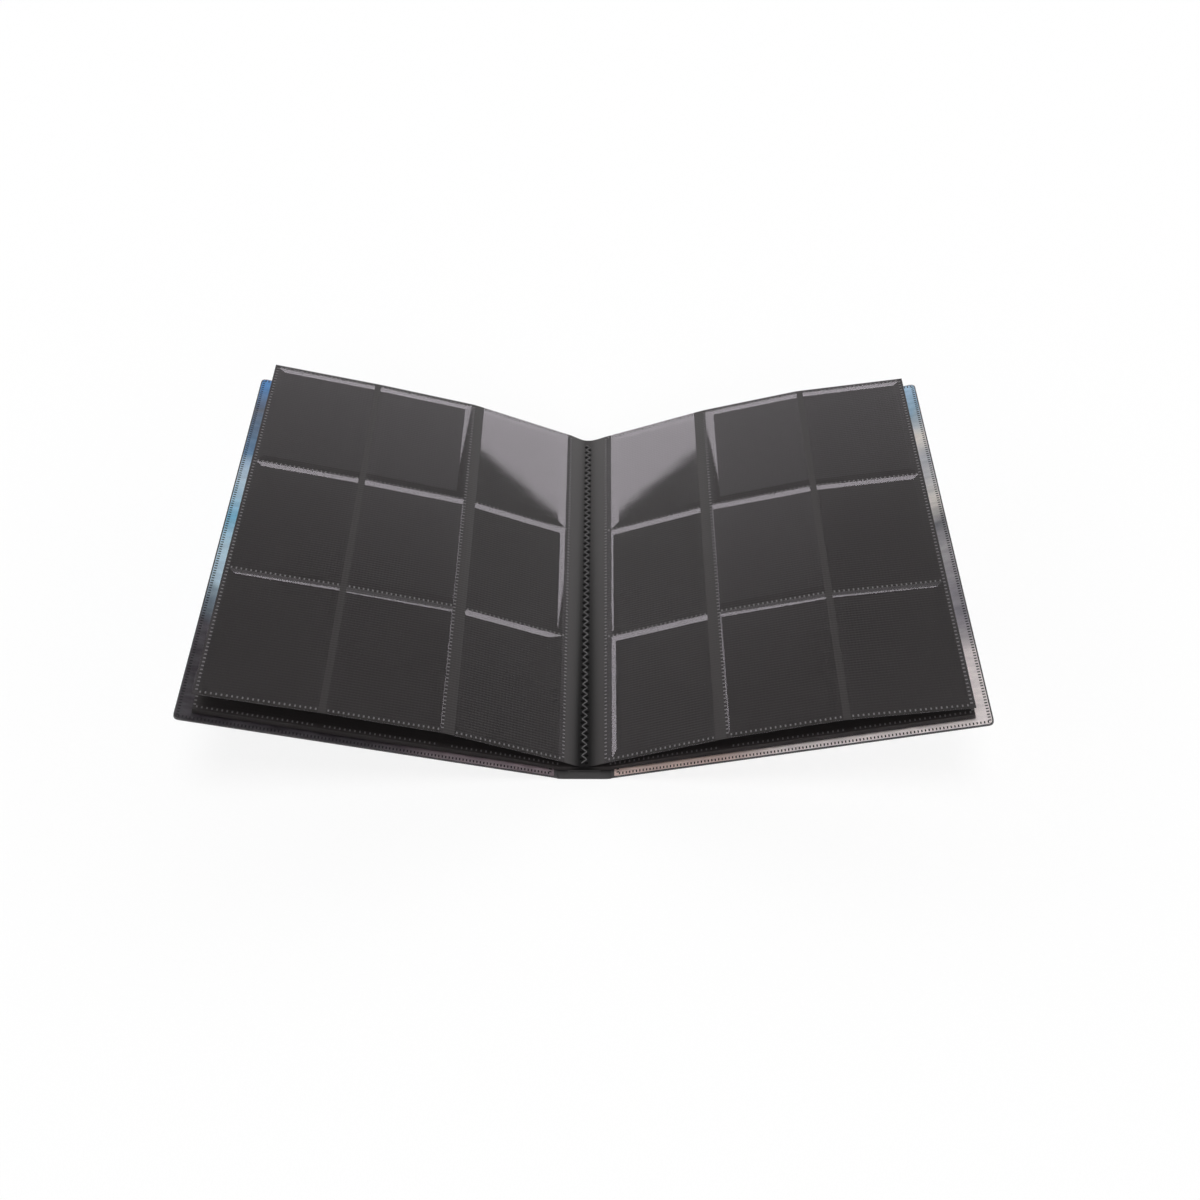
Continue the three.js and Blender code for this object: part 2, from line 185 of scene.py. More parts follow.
# %% Finishes
class Finish(NodeTree):
    """A node tree with names for the nodes that come back."""

    def place(self, scale=(1, 1, 1), turn=(0, 0, 0)):
        """Where a point of the surface is, in the piece's own axes."""
        where = self.node("ShaderNodeTexCoord", output="Object")
        return self.node("ShaderNodeMapping", {}, {"Vector": where, "Rotation": turn, "Scale": scale})

    def axes(self, vector):
        split = self.node("ShaderNodeSeparateXYZ", {}, {0: vector})
        outputs = split.socket.node.outputs
        return [Wire(self, outputs[axis]) for axis in "XYZ"]

    def noise(self, vector, scale, detail=2.0, roughness=0.5):
        sockets = {"Vector": vector, "Scale": scale, "Detail": detail, "Roughness": roughness}
        return self.node("ShaderNodeTexNoise", {}, sockets, "Fac")

    def smooth(self, value, low, high):
        """0 below low, 1 above high, and a soft step between them. With low above high it falls instead."""
        sockets = {"Value": value, "From Min": low, "From Max": high}
        return self.node("ShaderNodeMapRange", {"interpolation_type": "SMOOTHSTEP"}, sockets)

    def mix(self, share, first, second, blend="MIX"):
        """Two colours mixed. The Mix node's colours go in at sockets 6 and 7, and come out at 2."""
        settings = {"data_type": "RGBA", "blend_type": blend}
        return self.node("ShaderNodeMix", settings, {0: share, 6: first, 7: second}, 2)

    def ramp(self, share, stops):
        """The colour at a share of the way through the stops, each of which is a place and a colour."""
        colour = self.node("ShaderNodeValToRGB", {}, {0: share})
        elements = colour.socket.node.color_ramp.elements
        while len(elements) < len(stops):
            elements.new(1)
        for element, (place, stop_colour) in zip(list(elements), stops):
            element.position = place
            element.color = plain(stop_colour)
        return colour

    def bump(self, height, depth):
        return self.node("ShaderNodeBump", {}, {"Height": height, "Distance": depth, "Strength": 1.0})

    def surface(self, sockets):
        return self.node("ShaderNodeBsdfPrincipled", {}, sockets)


def new_finish(name):
    return Finish(bpy.data.materials.new(name))


# %% [markdown]
# ## Floor
#
# The album stands on pale paper that is lit so evenly that its edge can't be seen. A plain white plane
# would turn grey away from the light. So what the camera and the mirrors see of it is mostly a glow, and
# its matt share still takes the album's soft shadow.

# %% Floor
FLOOR_SIZE = 40
PAPER_LEVEL = 0.93
PAPER_ROUGHNESS = 0.9
PAPER_GRAIN_SCALE = 900.0
PAPER_GRAIN = 0.05 * MM
BACKLIGHT_SHARE = 0.85


def paper_finish():
    paper = new_finish("paper")
    grain = paper.noise(paper.place(), PAPER_GRAIN_SCALE)
    sheet = paper.surface(
        {
            "Base Color": grey(PAPER_LEVEL),
            "Roughness": PAPER_ROUGHNESS,
            "Normal": paper.bump(grain, PAPER_GRAIN),
        }
    )
    backlight = paper.node("ShaderNodeEmission", {}, {"Color": grey(1), "Strength": 1.0})
    ways = ("Is Camera Ray", "Is Glossy Ray", "Is Transmission Ray")
    seen, in_gloss, through = [paper.node("ShaderNodeLightPath", output=way) for way in ways]
    share = (seen + in_gloss + through) * BACKLIGHT_SHARE
    return paper.end(paper.node("ShaderNodeMixShader", {}, {0: share, 1: sheet, 2: backlight}))


bpy.ops.object.select_all(action="DESELECT")
bpy.ops.mesh.primitive_plane_add(size=FLOOR_SIZE, location=(0, 0, 0))
floor = bpy.context.object
floor.name = "paper_floor"
floor.data.materials.append(paper_finish())
print("floor:", FLOOR_SIZE, "m square")

# %% [markdown]
# ## Studio light
#
# The photograph shows what lights the album. Its glossy pockets mirror a bright wall along the horizon,
# up to about 35 degrees, and above that the studio is dim. Area lamps could stand for the wall, but then
# their edges would have to be placed pocket by pocket. A world worked out from the direction alone has its
# edge where the mirrored bars and patches show it: the wall's top bows down to both sides, and low down
# the wall is dimmer. A soft lamp straight overhead, which no pocket mirrors to the camera, lights the
# printed covers under the leaves. Heights on the wall are sines of the elevation.

# %% Levels in the studio
BACK_WALL_BRIGHTNESS = 2.7
FRONT_WALL_BRIGHTNESS = 2.1
LOW_WALL_BRIGHTNESS = 1.2
WALL_TURN = (-0.3, 0.3)
WALL_GROWTH = (0.2, 0.36)
WALL_TOP = 0.575
WALL_TOP_BOW = 0.207
WALL_TOP_TILT = 0.026
WALL_TOP_BLUR = 0.003
CEILING_GLOW = 0.45
CEILING_DARK = 0.03
CEILING_FADE = 0.18
GLOW_EDGE = (0.42, 0.3)
LAMP_BRIGHTNESS = 6.0
LAMP_EDGE = (0.945, 0.965)
print("the wall's top is", round(math.degrees(math.asin(WALL_TOP))), "degrees up")

# %% [markdown]
# The world is mixed from the wall upwards. Over the middle of the wall the ceiling has a faint glow, which
# lightens the pockets that mirror it a little, as in the photograph.

# %% World
studio = bpy.data.worlds.new("studio")
bpy.context.scene.world = studio
sky = Finish(studio)
direction = sky.node("ShaderNodeTexCoord", output="Generated")
sideways, backward, upward = sky.axes(direction)

wall = sky.mix(sky.smooth(backward, *WALL_TURN), grey(FRONT_WALL_BRIGHTNESS), grey(BACK_WALL_BRIGHTNESS))
wall = sky.mix(sky.smooth(upward, *WALL_GROWTH), grey(LOW_WALL_BRIGHTNESS), wall)

bowed_height = upward + sideways * sideways * WALL_TOP_BOW + sideways * WALL_TOP_TILT
over_wall = sky.smooth(bowed_height, WALL_TOP + CEILING_FADE, WALL_TOP)
glowing = over_wall * sky.smooth(abs(sideways), *GLOW_EDGE)
ceiling = sky.mix(glowing, grey(CEILING_DARK), grey(CEILING_GLOW))
overhead = sky.mix(sky.smooth(upward, *LAMP_EDGE), ceiling, grey(LAMP_BRIGHTNESS))

above_wall = sky.smooth(bowed_height, WALL_TOP - WALL_TOP_BLUR, WALL_TOP + WALL_TOP_BLUR)
level = sky.mix(above_wall, wall, overhead)
sky.end(sky.node("ShaderNodeBackground", {}, {"Color": level, "Strength": 1.0}), "ShaderNodeOutputWorld")
bpy.context.scene.view_settings.view_transform = "Standard"
print("world:", studio.name)

# %% [markdown]
# ## Finish of the page sheets
#
# The sheets are dark polypropylene with a fine cloth grain pressed into them. A picture of cloth could be
# laid over them, but a woven grain is no more than two crossing sine waves that wander a little, so it is
# worked out in the tree and stays sharp close up. The valley along the stitch is smooth, and its colour is
# darkened towards the reader by painted shade, where the valley lies in its own shadow.

# %% Page sheet
GRAIN_PITCH = 1.85 * MM
GRAIN_WANDER = 0.35 * MM
WANDER_SCALE = 900.0
GRAIN_DEPTH = 0.028 * MM
GUTTER_REACH = 11.3 * MM
GRAIN_START = 1.2 * MM
VALLEY_START = 2 * MM
VALLEY_SHADOW = (0.2, -0.12)
CLOTH_TONE = 0.07
CLOUD_SCALE = 14.0
CLOUD_TONE = 0.2
SPECK_SCALE = 1500.0
SPECK_TONE = 0.5
PAGE_ROUGHNESS = 0.38
VALLEY_POLISH = 0.1
PAGE_SPECULAR = 0.34
PAGE_DARK = (0.0175, 0.0152, 0.0154)
PAGE_PALE = (0.0416, 0.0364, 0.0368)
PAGE_SHADOW = (0.004, 0.0036, 0.0037)


def page_finish():
    page = new_finish("page_sheet")
    where = page.place()
    across, along, _ = page.axes(where)
    wander = page.noise(where, WANDER_SCALE) * GRAIN_WANDER
    turns = 2 * math.pi / GRAIN_PITCH
    weft = ((along + wander) * turns).sine()
    warp = ((across + wander) * turns).sine()
    cloth = weft * 0.7 + warp * 0.3
    clouds = (page.noise(where, CLOUD_SCALE, 3.0) - 0.5) * CLOUD_TONE
    specks = (page.noise(where, SPECK_SCALE) - 0.5) * SPECK_TONE
    on_leaf = page.smooth(abs(across), GUTTER_REACH, GUTTER_REACH + GRAIN_START)
    # Painted shade: near the stitch and towards the reader the sheet's colour is darkened; the same mask
    # makes the valley a little glossier.
    valley_shade_and_polish = page.smooth(abs(across), GUTTER_REACH, VALLEY_START) * page.smooth(along, *VALLEY_SHADOW)
    level = (cloth * CLOTH_TONE + clouds + specks) * on_leaf + 0.5
    colour = page.mix(level, plain(PAGE_DARK), plain(PAGE_PALE))
    return page.end(
        page.surface(
            {
                "Base Color": page.mix(valley_shade_and_polish, colour, plain(PAGE_SHADOW)),
                "Roughness": valley_shade_and_polish * -VALLEY_POLISH + PAGE_ROUGHNESS,
                "Specular IOR Level": PAGE_SPECULAR,
                "Normal": page.bump(cloth * on_leaf, GRAIN_DEPTH),
            }
        )
    )


page_sheet = page_finish()
print("finish:", page_sheet.name)

# %% [markdown]
# ## Clear film
#
# A clear film shows in two ways only: by what it mirrors, more at a glancing angle, and by a slight
# greying of what lies under it. A glass shader would do, but it bends the light and darkens the sheet below.
# So the shader is a Transparent one with a mirror mixed in by Schlick's rule: a small share head on, and
# the rest by the fifth power of Layer Weight's Facing, which counts alike on both faces of the film.
# Along a weld the film is pressed down and dull, so there the mirror is rough and weak.

# %% Film
HEAD_ON_SHARE = 0.04
SCHLICK_POWER = 5
FILM_COLOUR = (0.93, 0.865, 0.94)
FILM_WAVES = 45.0
POCKET_RIPPLE = 0.012 * MM
COVER_RIPPLE = 0.03 * MM


def film_finish(name, tint, gloss, roughness, ripple):
    film = new_finish(name)
    facing = film.node("ShaderNodeLayerWeight", {}, {"Blend": 0.5}, "Facing")
    mirrored = facing ** SCHLICK_POWER * (1 - HEAD_ON_SHARE) + HEAD_ON_SHARE
    mirror = film.surface(
        {
            "Base Color": shaded(FILM_COLOUR, gloss),
            "Metallic": 1.0,
            "Roughness": roughness,
            "Normal": film.bump(film.noise(film.place(), FILM_WAVES), ripple),
        }
    )
    clear = film.node("ShaderNodeBsdfTransparent", {}, {"Color": grey(tint)})
    return film.end(film.node("ShaderNodeMixShader", {}, {0: mirrored, 1: clear, 2: mirror}))


pocket_film = film_finish("pocket_film", 0.97, 1.0, 0.03, POCKET_RIPPLE)
pressed_film = film_finish("pressed_film", 0.97, 0.35, 0.6, POCKET_RIPPLE)
cover_film = film_finish("cover_film", 0.99, 1.0, 0.1, COVER_RIPPLE)
print("films:", pocket_film.name, pressed_film.name, cover_film.name)

# %% [markdown]
# ## Marks of the welds
#
# Where the hot tool pressed, the plastic is whitened and a little rough. The marks could be painted on by
# a pattern, but they are real small blocks here, so their finish is a plain colour with a speckle. The
# same recipe in near black makes the marks on the covers and the painted shade in the stitch's dimples.


# %% Weld marks
SPECKLE_SCALE = 2500.0
SPECKLE = 0.25


def weld_finish(name, colour, roughness, specular=0.5):
    weld = new_finish(name)
    speckle = weld.noise(weld.place(), SPECKLE_SCALE)
    return weld.end(
        weld.surface(
            {
                "Base Color": weld.mix(speckle, shaded(colour, 1 - SPECKLE), shaded(colour, 1 + SPECKLE)),
                "Roughness": roughness,
                "Specular IOR Level": specular,
            }
        )
    )


pocket_weld = weld_finish("pocket_weld", (0.135, 0.128, 0.131), 0.32)
cover_weld = weld_finish("cover_weld", (0.035, 0.034, 0.036), 0.25)
# Painted shade: a near-black finish for the discs that stand for the shadow in the stitch's dimples.
dimple_shade_finish = weld_finish("dimple_shade_disc", (0.004, 0.004, 0.004), 0.9, 0.1)
print("marks:", pocket_weld.name, cover_weld.name, dimple_shade_finish.name)

# %% [markdown]
# ## Printed covers
#
# Each cover has a printed sheet on both sides of its board. An image could be wrapped round it, but the
# print here is a plain wash with no picture in it. So it is drawn through a ramp of the album's colours
# from the near end to the far end, with streaks like those of a wide brush.

# %% Wash
PRINT_REACH = 0.16
PRINT_ROUGHNESS = 0.55
DRIFT_SCALE = 11.0
FLOW_DRIFT = 0.09
INNER_ACROSS = (0.155, 0.1)
INNER_ALONG = (-0.08, -0.11)
ACROSS_DRIFT = 0.06
ALONG_DRIFT = 0.05
BRUSH_DETAIL = (4.0, 0.6)
STREAK_SCALE = (60.0, 240.0, 60.0)
STREAK_EDGE = (0.3, 0.7)
SCREEN_SHARE = 0.04
STREAK_DARK = (0.78, 0.78, 0.80)
STREAK_PALE = (0.7, 0.7, 0.75)


def wash_finish(name, stops, inner_colour, slant):
    """A wash through the stops from the near end to the far end, and another colour near the spine."""
    wash = new_finish(name)
    where = wash.place()
    across, along, _ = wash.axes(where)
    drift = wash.noise(where, DRIFT_SCALE, *BRUSH_DETAIL)
    flow = along + across * slant + (drift - 0.5) * FLOW_DRIFT
    colour = wash.ramp((flow + PRINT_REACH) / (2 * PRINT_REACH), stops)
    near_spine = wash.smooth(abs(across) + drift * ACROSS_DRIFT, *INNER_ACROSS)
    near_end = wash.smooth(along + drift * ALONG_DRIFT, *INNER_ALONG)
    colour = wash.mix(near_spine * near_end, colour, plain(inner_colour))
    streaks = wash.noise(wash.place(STREAK_SCALE, (0, 0, slant)), 1.0, *BRUSH_DETAIL)
    darker = wash.mix(1.0, colour, plain(STREAK_DARK), "MULTIPLY")
    paler = wash.mix(SCREEN_SHARE, colour, plain(STREAK_PALE), "SCREEN")
    brushed = wash.mix(wash.smooth(streaks, *STREAK_EDGE), darker, paler)
    return wash.end(wash.surface({"Base Color": brushed, "Roughness": PRINT_ROUGHNESS}))


# %% [markdown]
# The front cover's wash is cool, and the back cover's is warm and pale. A stop is a share of the way
# from the near end to the far end, and the colour there.

# %% Cover prints
COOL_WASH = [
    (0.00, (0.030, 0.022, 0.030)),
    (0.08, (0.060, 0.050, 0.064)),
    (0.15, (0.200, 0.270, 0.330)),
    (0.22, (0.640, 0.840, 0.960)),
    (0.32, (0.600, 0.820, 0.940)),
    (0.40, (0.240, 0.640, 0.880)),
    (0.49, (0.680, 0.860, 0.980)),
    (0.57, (0.140, 0.320, 0.540)),
    (0.67, (0.120, 0.150, 0.200)),
    (0.75, (0.070, 0.280, 0.620)),
    (0.86, (0.050, 0.340, 0.800)),
]
WARM_WASH = [
    (0.00, (0.940, 0.860, 0.840)),
    (0.05, (0.500, 0.460, 0.470)),
    (0.12, (0.280, 0.260, 0.290)),
    (0.20, (0.340, 0.320, 0.340)),
    (0.27, (0.440, 0.420, 0.430)),
    (0.35, (0.160, 0.160, 0.180)),
    (0.43, (0.860, 0.810, 0.750)),
    (0.51, (0.540, 0.560, 0.600)),
    (0.59, (0.950, 0.890, 0.810)),
    (0.67, (0.300, 0.480, 0.620)),
    (0.75, (0.440, 0.660, 0.860)),
    (0.90, (0.160, 0.480, 0.800)),
]
front_print = wash_finish("front_print", COOL_WASH, (0.270, 0.210, 0.230), 0.25)
back_print = wash_finish("back_print", WARM_WASH, (0.660, 0.510, 0.460), -0.3)
print("prints:", front_print.name, back_print.name)

# %% [markdown]
# ## Boards, spine and thread
#
# Boards and spine are moulded plastic, of one dark colour. One colour alone looks like a drawing, so its
# tone and its gloss both drift a little. The thread is spun, and a sine wave across it gives its twist.

# %% Plastic and thread
PATCH_SCALE = 60.0
PATCH_TONE = 0.15
PATCH_GLOSS = 0.12
PLASTIC_GRAIN_SCALE = 1800.0
PLASTIC_GRAIN = 0.02 * MM
TWIST_PITCH = 0.5 * MM
TWIST_SLANT = 0.6
TWIST_DEPTH = 0.08 * MM
FIBRE_SCALE = 6000.0
FIBRE_DARK = (0.085, 0.082, 0.084)
FIBRE_PALE = (0.19, 0.185, 0.188)
THREAD_ROUGHNESS = 0.7


def plastic_finish(name, colour, roughness):
    """Moulded sheet: a plain colour with a faint unevenness in its gloss."""
    plastic = new_finish(name)
    where = plastic.place()
    patches = plastic.noise(where, PATCH_SCALE, 3.0)
    darker, paler = shaded(colour, 1 - PATCH_TONE), shaded(colour, 1 + PATCH_TONE)
    return plastic.end(
        plastic.surface(
            {
                "Base Color": plastic.mix(patches, darker, paler),
                "Roughness": patches * PATCH_GLOSS + (roughness - PATCH_GLOSS / 2),
                "Normal": plastic.bump(plastic.noise(where, PLASTIC_GRAIN_SCALE), PLASTIC_GRAIN),
            }
        )
    )


def thread_finish():
    thread = new_finish("thread")
    where = thread.place()
    across, along, _ = thread.axes(where)
    twist = ((across * TWIST_SLANT + along) * (2 * math.pi / TWIST_PITCH)).sine()
    fibre = thread.noise(where, FIBRE_SCALE)
    return thread.end(
        thread.surface(
            {
                "Base Color": thread.mix(fibre, plain(FIBRE_DARK), plain(FIBRE_PALE)),
                "Roughness": THREAD_ROUGHNESS,
                "Normal": thread.bump(twist, TWIST_DEPTH),
            }
        )
    )


board_plastic = plastic_finish("cover_board", (0.055, 0.053, 0.055), 0.5)
spine_plastic = plastic_finish("spine_plastic", (0.048, 0.047, 0.048), 0.42)
thread_grey = thread_finish()
print("plastics:", board_plastic.name, spine_plastic.name, "and", thread_grey.name)

# %% [markdown]
# ## Finishes of the CAD nodes
#
# Covers, spine and bobbin thread are shown as the CAD model has them, since their shapes are already true.
# Each node's name says what it is made of.


# %% CAD nodes
def finish_for(name):
    if "print" in name:
        return front_print if name.startswith("front") else back_print
    if "cover_film" in name:
        return cover_film
    if name.endswith("board"):
        return board_plastic
    if "spine" in name:
        return spine_plastic
    if "thread" in name:
        return thread_grey
    return pocket_film if "pockets" in name else page_sheet


for name, piece in nodes.items():
    piece.data.materials.clear()
    piece.data.materials.append(finish_for(name))
print("finishes given to", len(nodes), "CAD nodes")

# %% [markdown]
# ## Lines in section
#
# Every leaf is one half of a page sheet: it leaves the stitch level, bends up at the inner weld and lies
# out over its cover. It could be modelled on its slope, but it is easier to draw flat, with X as the
# distance from the stitch, and to bend last of all. A line in section says how: it runs through points that
# give the distance from the middle and the height, and its corners are rounded by averaging.

# %% Section lines
BEND_LENGTH = 2.4 * MM
BEND_SAMPLES = 7


class SectionLine:
    """A line in section through points that give the distance from the middle and the height."""

    def __init__(self, points):
        self.points = [Vector(point) for point in points]
        self.places = [0.0]
        for start, end in zip(self.points, self.points[1:]):
            self.places.append(self.places[-1] + (end - start).length)
        self.reach = self.places[-1]

    def sharp(self, along):
        """The point at that distance on the line as drawn, or on its straight continuation."""
        i = 1
        while i < len(self.places) - 1 and self.places[i] < along:
            i += 1
        start, end = self.points[i - 1], self.points[i]
        share = (along - self.places[i - 1]) / (self.places[i] - self.places[i - 1])
        return start.lerp(end, share)

    def eased(self, along):
        """The same with the bends rounded: the middle of the points a little before and after it."""
        offsets = [BEND_LENGTH * (i / (BEND_SAMPLES - 1) - 0.5) for i in range(BEND_SAMPLES)]
        return sum((self.sharp(along + offset) for offset in offsets), Vector((0, 0))) / BEND_SAMPLES

    def square(self, along):
        """The direction square to the line there, upwards."""
        ahead = self.sharp(along + BEND_LENGTH / 2) - self.sharp(along - BEND_LENGTH / 2)
        ahead.normalize()
        return Vector((-ahead.y, ahead.x))


# %% [markdown]
# The lines themselves are read from the CAD sheets. A sheet's section has its corners in pairs, one on
# its underside and one on top, and the points halfway between them make its line.

# %% Lines of the leaves
SIDES = {"left": -1, "right": 1}
COVERS = {"left": "front_cover", "right": "back_cover"}
SHEETS = range(1, 11)
CORNER_DIGITS = 6


def leaf_node(side, sheet):
    return side + "_top_leaf_core" if sheet == 1 else "%s_leaf_%02d" % (side, sheet)


def middle_points(name, side):
    """The points halfway through the thickness of a CAD sheet on one side, from the middle outwards."""
    outward = [(v.co.x * SIDES[side], v.co.z) for v in nodes[name].data.vertices]
    corners = sorted({(round(x, CORNER_DIGITS), round(z, CORNER_DIGITS)) for x, z in outward if x > 0})
    return [((a[0] + b[0]) / 2, (a[1] + b[1]) / 2) for a, b in zip(corners[::2], corners[1::2])]


def leaf_line(side, sheet):
    fold = middle_points("gutter_fold_%02d" % sheet, side)
    return SectionLine([(0, fold[0][1]), *fold, *middle_points(leaf_node(side, sheet), side)])


lines = {(side, sheet): leaf_line(side, sheet) for side in SIDES for sheet in SHEETS}
print("a leaf reaches", round(lines["left", 1].reach / MM, 2), "mm from the stitch")

# %% [markdown]
# ## Selecting and editing from a script
#
# Blender's mesh tools act on what is selected and active. In the window a click says which face is meant,
# and a script says it by the face's place. These helpers select nothing, one piece, or the parts of a piece
# that lie where they are wanted, and apply a modifier as soon as it is made.


# %% Helpers for edit mode
def deselect_all():
    bpy.ops.object.select_all(action="DESELECT")


def only(piece):
    deselect_all()
    piece.select_set(True)
    bpy.context.view_layer.objects.active = piece


def in_edit(piece, kind="VERT"):
    only(piece)
    bpy.ops.object.mode_set(mode="EDIT")
    bpy.ops.mesh.select_mode(type=kind)
    bpy.ops.mesh.select_all(action="SELECT")


def out_of_edit():
    bpy.ops.object.mode_set(mode="OBJECT")


def pick(piece, wanted, kind="VERT"):
    """Selects the vertices or faces of the piece for whose place wanted() is true."""
    in_edit(piece, kind)
    bpy.ops.mesh.select_all(action="DESELECT")
    out_of_edit()
    parts = piece.data.vertices if kind == "VERT" else piece.data.polygons
    for part in parts:
        part.select = wanted(part.co if kind == "VERT" else part.center)
    bpy.ops.object.mode_set(mode="EDIT")


def cut(piece, point, normal):
    """Cuts the faces of the piece along a plane, and keeps both halves."""
    in_edit(piece)
    bpy.ops.mesh.bisect(plane_co=point, plane_no=normal)
    out_of_edit()


# %% [markdown]
# A finished piece keeps its object at the origin, with its place in its mesh, because the frame moves
# objects about the CAD model's own hinges.


# %% Helpers for whole pieces
def apply_modifier(piece, kind, **settings):
    only(piece)
    modifier = piece.modifiers.new(kind.lower(), kind)
    for name, value in settings.items():
        setattr(modifier, name, value)
    bpy.ops.object.modifier_apply(modifier=modifier.name)


def repeat(piece, count, step):
    """Repeats the piece along a step, with an Array modifier."""
    offset = {"use_relative_offset": False, "use_constant_offset": True, "constant_offset_displace": step}
    apply_modifier(piece, "ARRAY", count=count, **offset)


def smooth_shade(piece, degrees):
    only(piece)
    bpy.ops.object.shade_smooth_by_angle(angle=math.radians(degrees))


def settle(piece):
    """Puts the piece's place into its mesh, with its object at the origin."""
    only(piece)
    bpy.ops.object.transform_apply(location=True, rotation=True, scale=True)


def give(pieces, finish):
    for piece in pieces:
        piece.data.materials.append(finish)


def join(target, others):
    deselect_all()
    for piece in (*others, target):
        piece.select_set(True)
    bpy.context.view_layer.objects.active = target
    bpy.ops.object.join()
    return target


# %% [markdown]
# ## Flat pieces, and how they are bent
#
# A Curve modifier could bend a flat piece, but it works for one side and one face at a time and has to be
# set up for each. Moving the vertices is shorter: a vertex's X is read as a length along the line, and its
# height is set off square to the line, so that nothing on the leaf gets wider or narrower.


# %% Drawing flat and bending
PLACE_DIGITS = 7


def flat_grid(name, reach, near, far, steps):
    """A flat sheet from the stitch to its reach along X, with that many even steps."""
    deselect_all()
    bpy.ops.mesh.primitive_grid_add(x_subdivisions=steps, y_subdivisions=1, size=1)
    piece = bpy.context.object
    piece.name = name
    piece.scale = (reach, far - near, 1)
    piece.location = (reach / 2, (near + far) / 2, 0)
    settle(piece)
    return piece


def bend(piece, line, side, face=1):
    """Bends a flat piece to a line. face is 1 on the upper side of the line and -1 on the lower one."""
    known = {}
    for vertex in piece.data.vertices:
        along, y, above = vertex.co
        key = round(along, PLACE_DIGITS)
        if key not in known:
            known[key] = (line.eased(along), line.square(along))
        place, square = known[key]
        spot = place + square * above * face
        vertex.co = (SIDES[side] * spot.x, y, spot.y)
    if SIDES[side] * face < 0:
        in_edit(piece)
        bpy.ops.mesh.flip_normals()
        out_of_edit()


# %% [markdown]
# ## Page sheets
#
# Ten sheets are stitched through the gutter. A sheet could be one piece, but its two halves turn about
# two hinges. So each half is a piece of its own, from the stitch to the fore edge. It is a grid,
# given its thickness by a Solidify modifier, with extra cuts where it bends: at the root of the leaf, and
# on the uppermost sheet also where it climbs out of the valley.

# %% Half sheets
SHEET_STEPS = 56
HINGE_CUTS = 9
HINGE_SPAN = (9.6 * MM, 17.2 * MM)
VALLEY_CUTS = [x * MM for x in (0.6, 1.2, 1.8, 2.4, 3.2, 5.0, 6.2, 7.2)]
TOP_THICKNESS = 0.25 * MM
STACK_THICKNESS = 0.3 * MM
SHEET_CREASE = 30
near_end, far_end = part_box("gutter_fold_01")[0].y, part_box("gutter_fold_01")[1].y


def page_half(side, sheet):
    line = lines[side, sheet]
    piece = flat_grid("%s_sheet_%02d" % (side, sheet), line.reach, near_end, far_end, SHEET_STEPS)
    start, end = HINGE_SPAN
    for i in range(HINGE_CUTS):
        cut(piece, (start + (end - start) * i / (HINGE_CUTS - 1), 0, 0), (1, 0, 0))
    for place in VALLEY_CUTS if sheet == 1 else []:
        cut(piece, (place, 0, 0), (1, 0, 0))
    thickness = TOP_THICKNESS if sheet == 1 else STACK_THICKNESS
    apply_modifier(piece, "SOLIDIFY", thickness=thickness, offset=0)
    bend(piece, line, side)
    smooth_shade(piece, SHEET_CREASE)
    give([piece], page_sheet)
    return piece


# %% [markdown]
# A half sheet reaches from the spine over the root of its leaf. It is left where it lies, attached
# neither to the spine nor to its leaf.


def hang(piece):
    """Puts the piece's transform into its mesh, and leaves it attached to no body."""
    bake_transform(piece)


for side in SIDES:
    for sheet in SHEETS:
        piece = page_half(side, sheet)
        hang(piece)
        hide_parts(leaf_node(side, sheet), "gutter_fold_%02d" % sheet)
print("page halves:", len(lines))

# %% [markdown]
# ## Pocket films
#
# A column of pockets is one strip of clear film. It is welded to the sheet round each pocket, except along
# the mouth, and stands a little off the sheet inside the welds. Each rim could be built from strips, but
# then the corners would have to be fitted. Insetting a pocket's face step by step, a little higher
# each time, makes the rim with its mitred corners. The film's open edge is left out of the inset, so the
# mouth stays open.

# %% Sizes of the pockets
POCKET_WIDTH = 66 * MM
ROW_PITCH = 93 * MM
ROWS = 3
LEAF_MARGIN = 2 * MM
HALF_WELD = 0.75 * MM
FILM_SETBACK = 0.1 * MM
INNER_BAND = 6.4 * MM
OUTER_BAND = 4.1 * MM
INNER_WELD = 13.3 * MM
MIDDLE_WELD = INNER_WELD + POCKET_WIDTH + INNER_BAND
OUTER_MOUTH = MIDDLE_WELD + POCKET_WIDTH + OUTER_BAND
OUTER_WELD = OUTER_MOUTH + POCKET_WIDTH
RIM_STEPS = 6
RIM_CURVE = 0.27
FILM_THICKNESS = 0.1 * MM
FILM_GAP = 0.05 * MM
first_weld = near_end + LEAF_MARGIN
print("rows of welds start at", round(first_weld / MM, 1), "mm")

# %% [markdown]
# The film climbs evenly from the weld, and a little steeper towards the top of the rim. How steep it is
# decides where it mirrors the studio's wall, and so where a light bar shows.


# %% One strip of film
def rim_rise(share):
    """How high the film stands at a share of the rim's width, as a share of its height."""
    return share * (1 - RIM_CURVE) + share * share * RIM_CURVE


def flat_sheet(name, start, end, height):
    """A flat rectangle from start to end along X, as long as a leaf, at a height."""
    deselect_all()
    middle = ((start + end) / 2, (near_end + far_end) / 2, height)
    bpy.ops.mesh.primitive_plane_add(size=1, location=middle)
    piece = bpy.context.object
    piece.name = name
    piece.scale = (end - start, far_end - near_end, 1)
    settle(piece)
    return piece


def is_pocket(centre, pocket_middle):
    """Whether a face's centre is that of a pocket, and not of a weld or of an edge."""
    from_row_middle = abs((centre.y - first_weld) % ROW_PITCH - ROW_PITCH / 2)
    in_rows = first_weld < centre.y < -first_weld and from_row_middle < ROW_PITCH / 4
    return in_rows and abs(centre.x - pocket_middle) < POCKET_WIDTH / 4


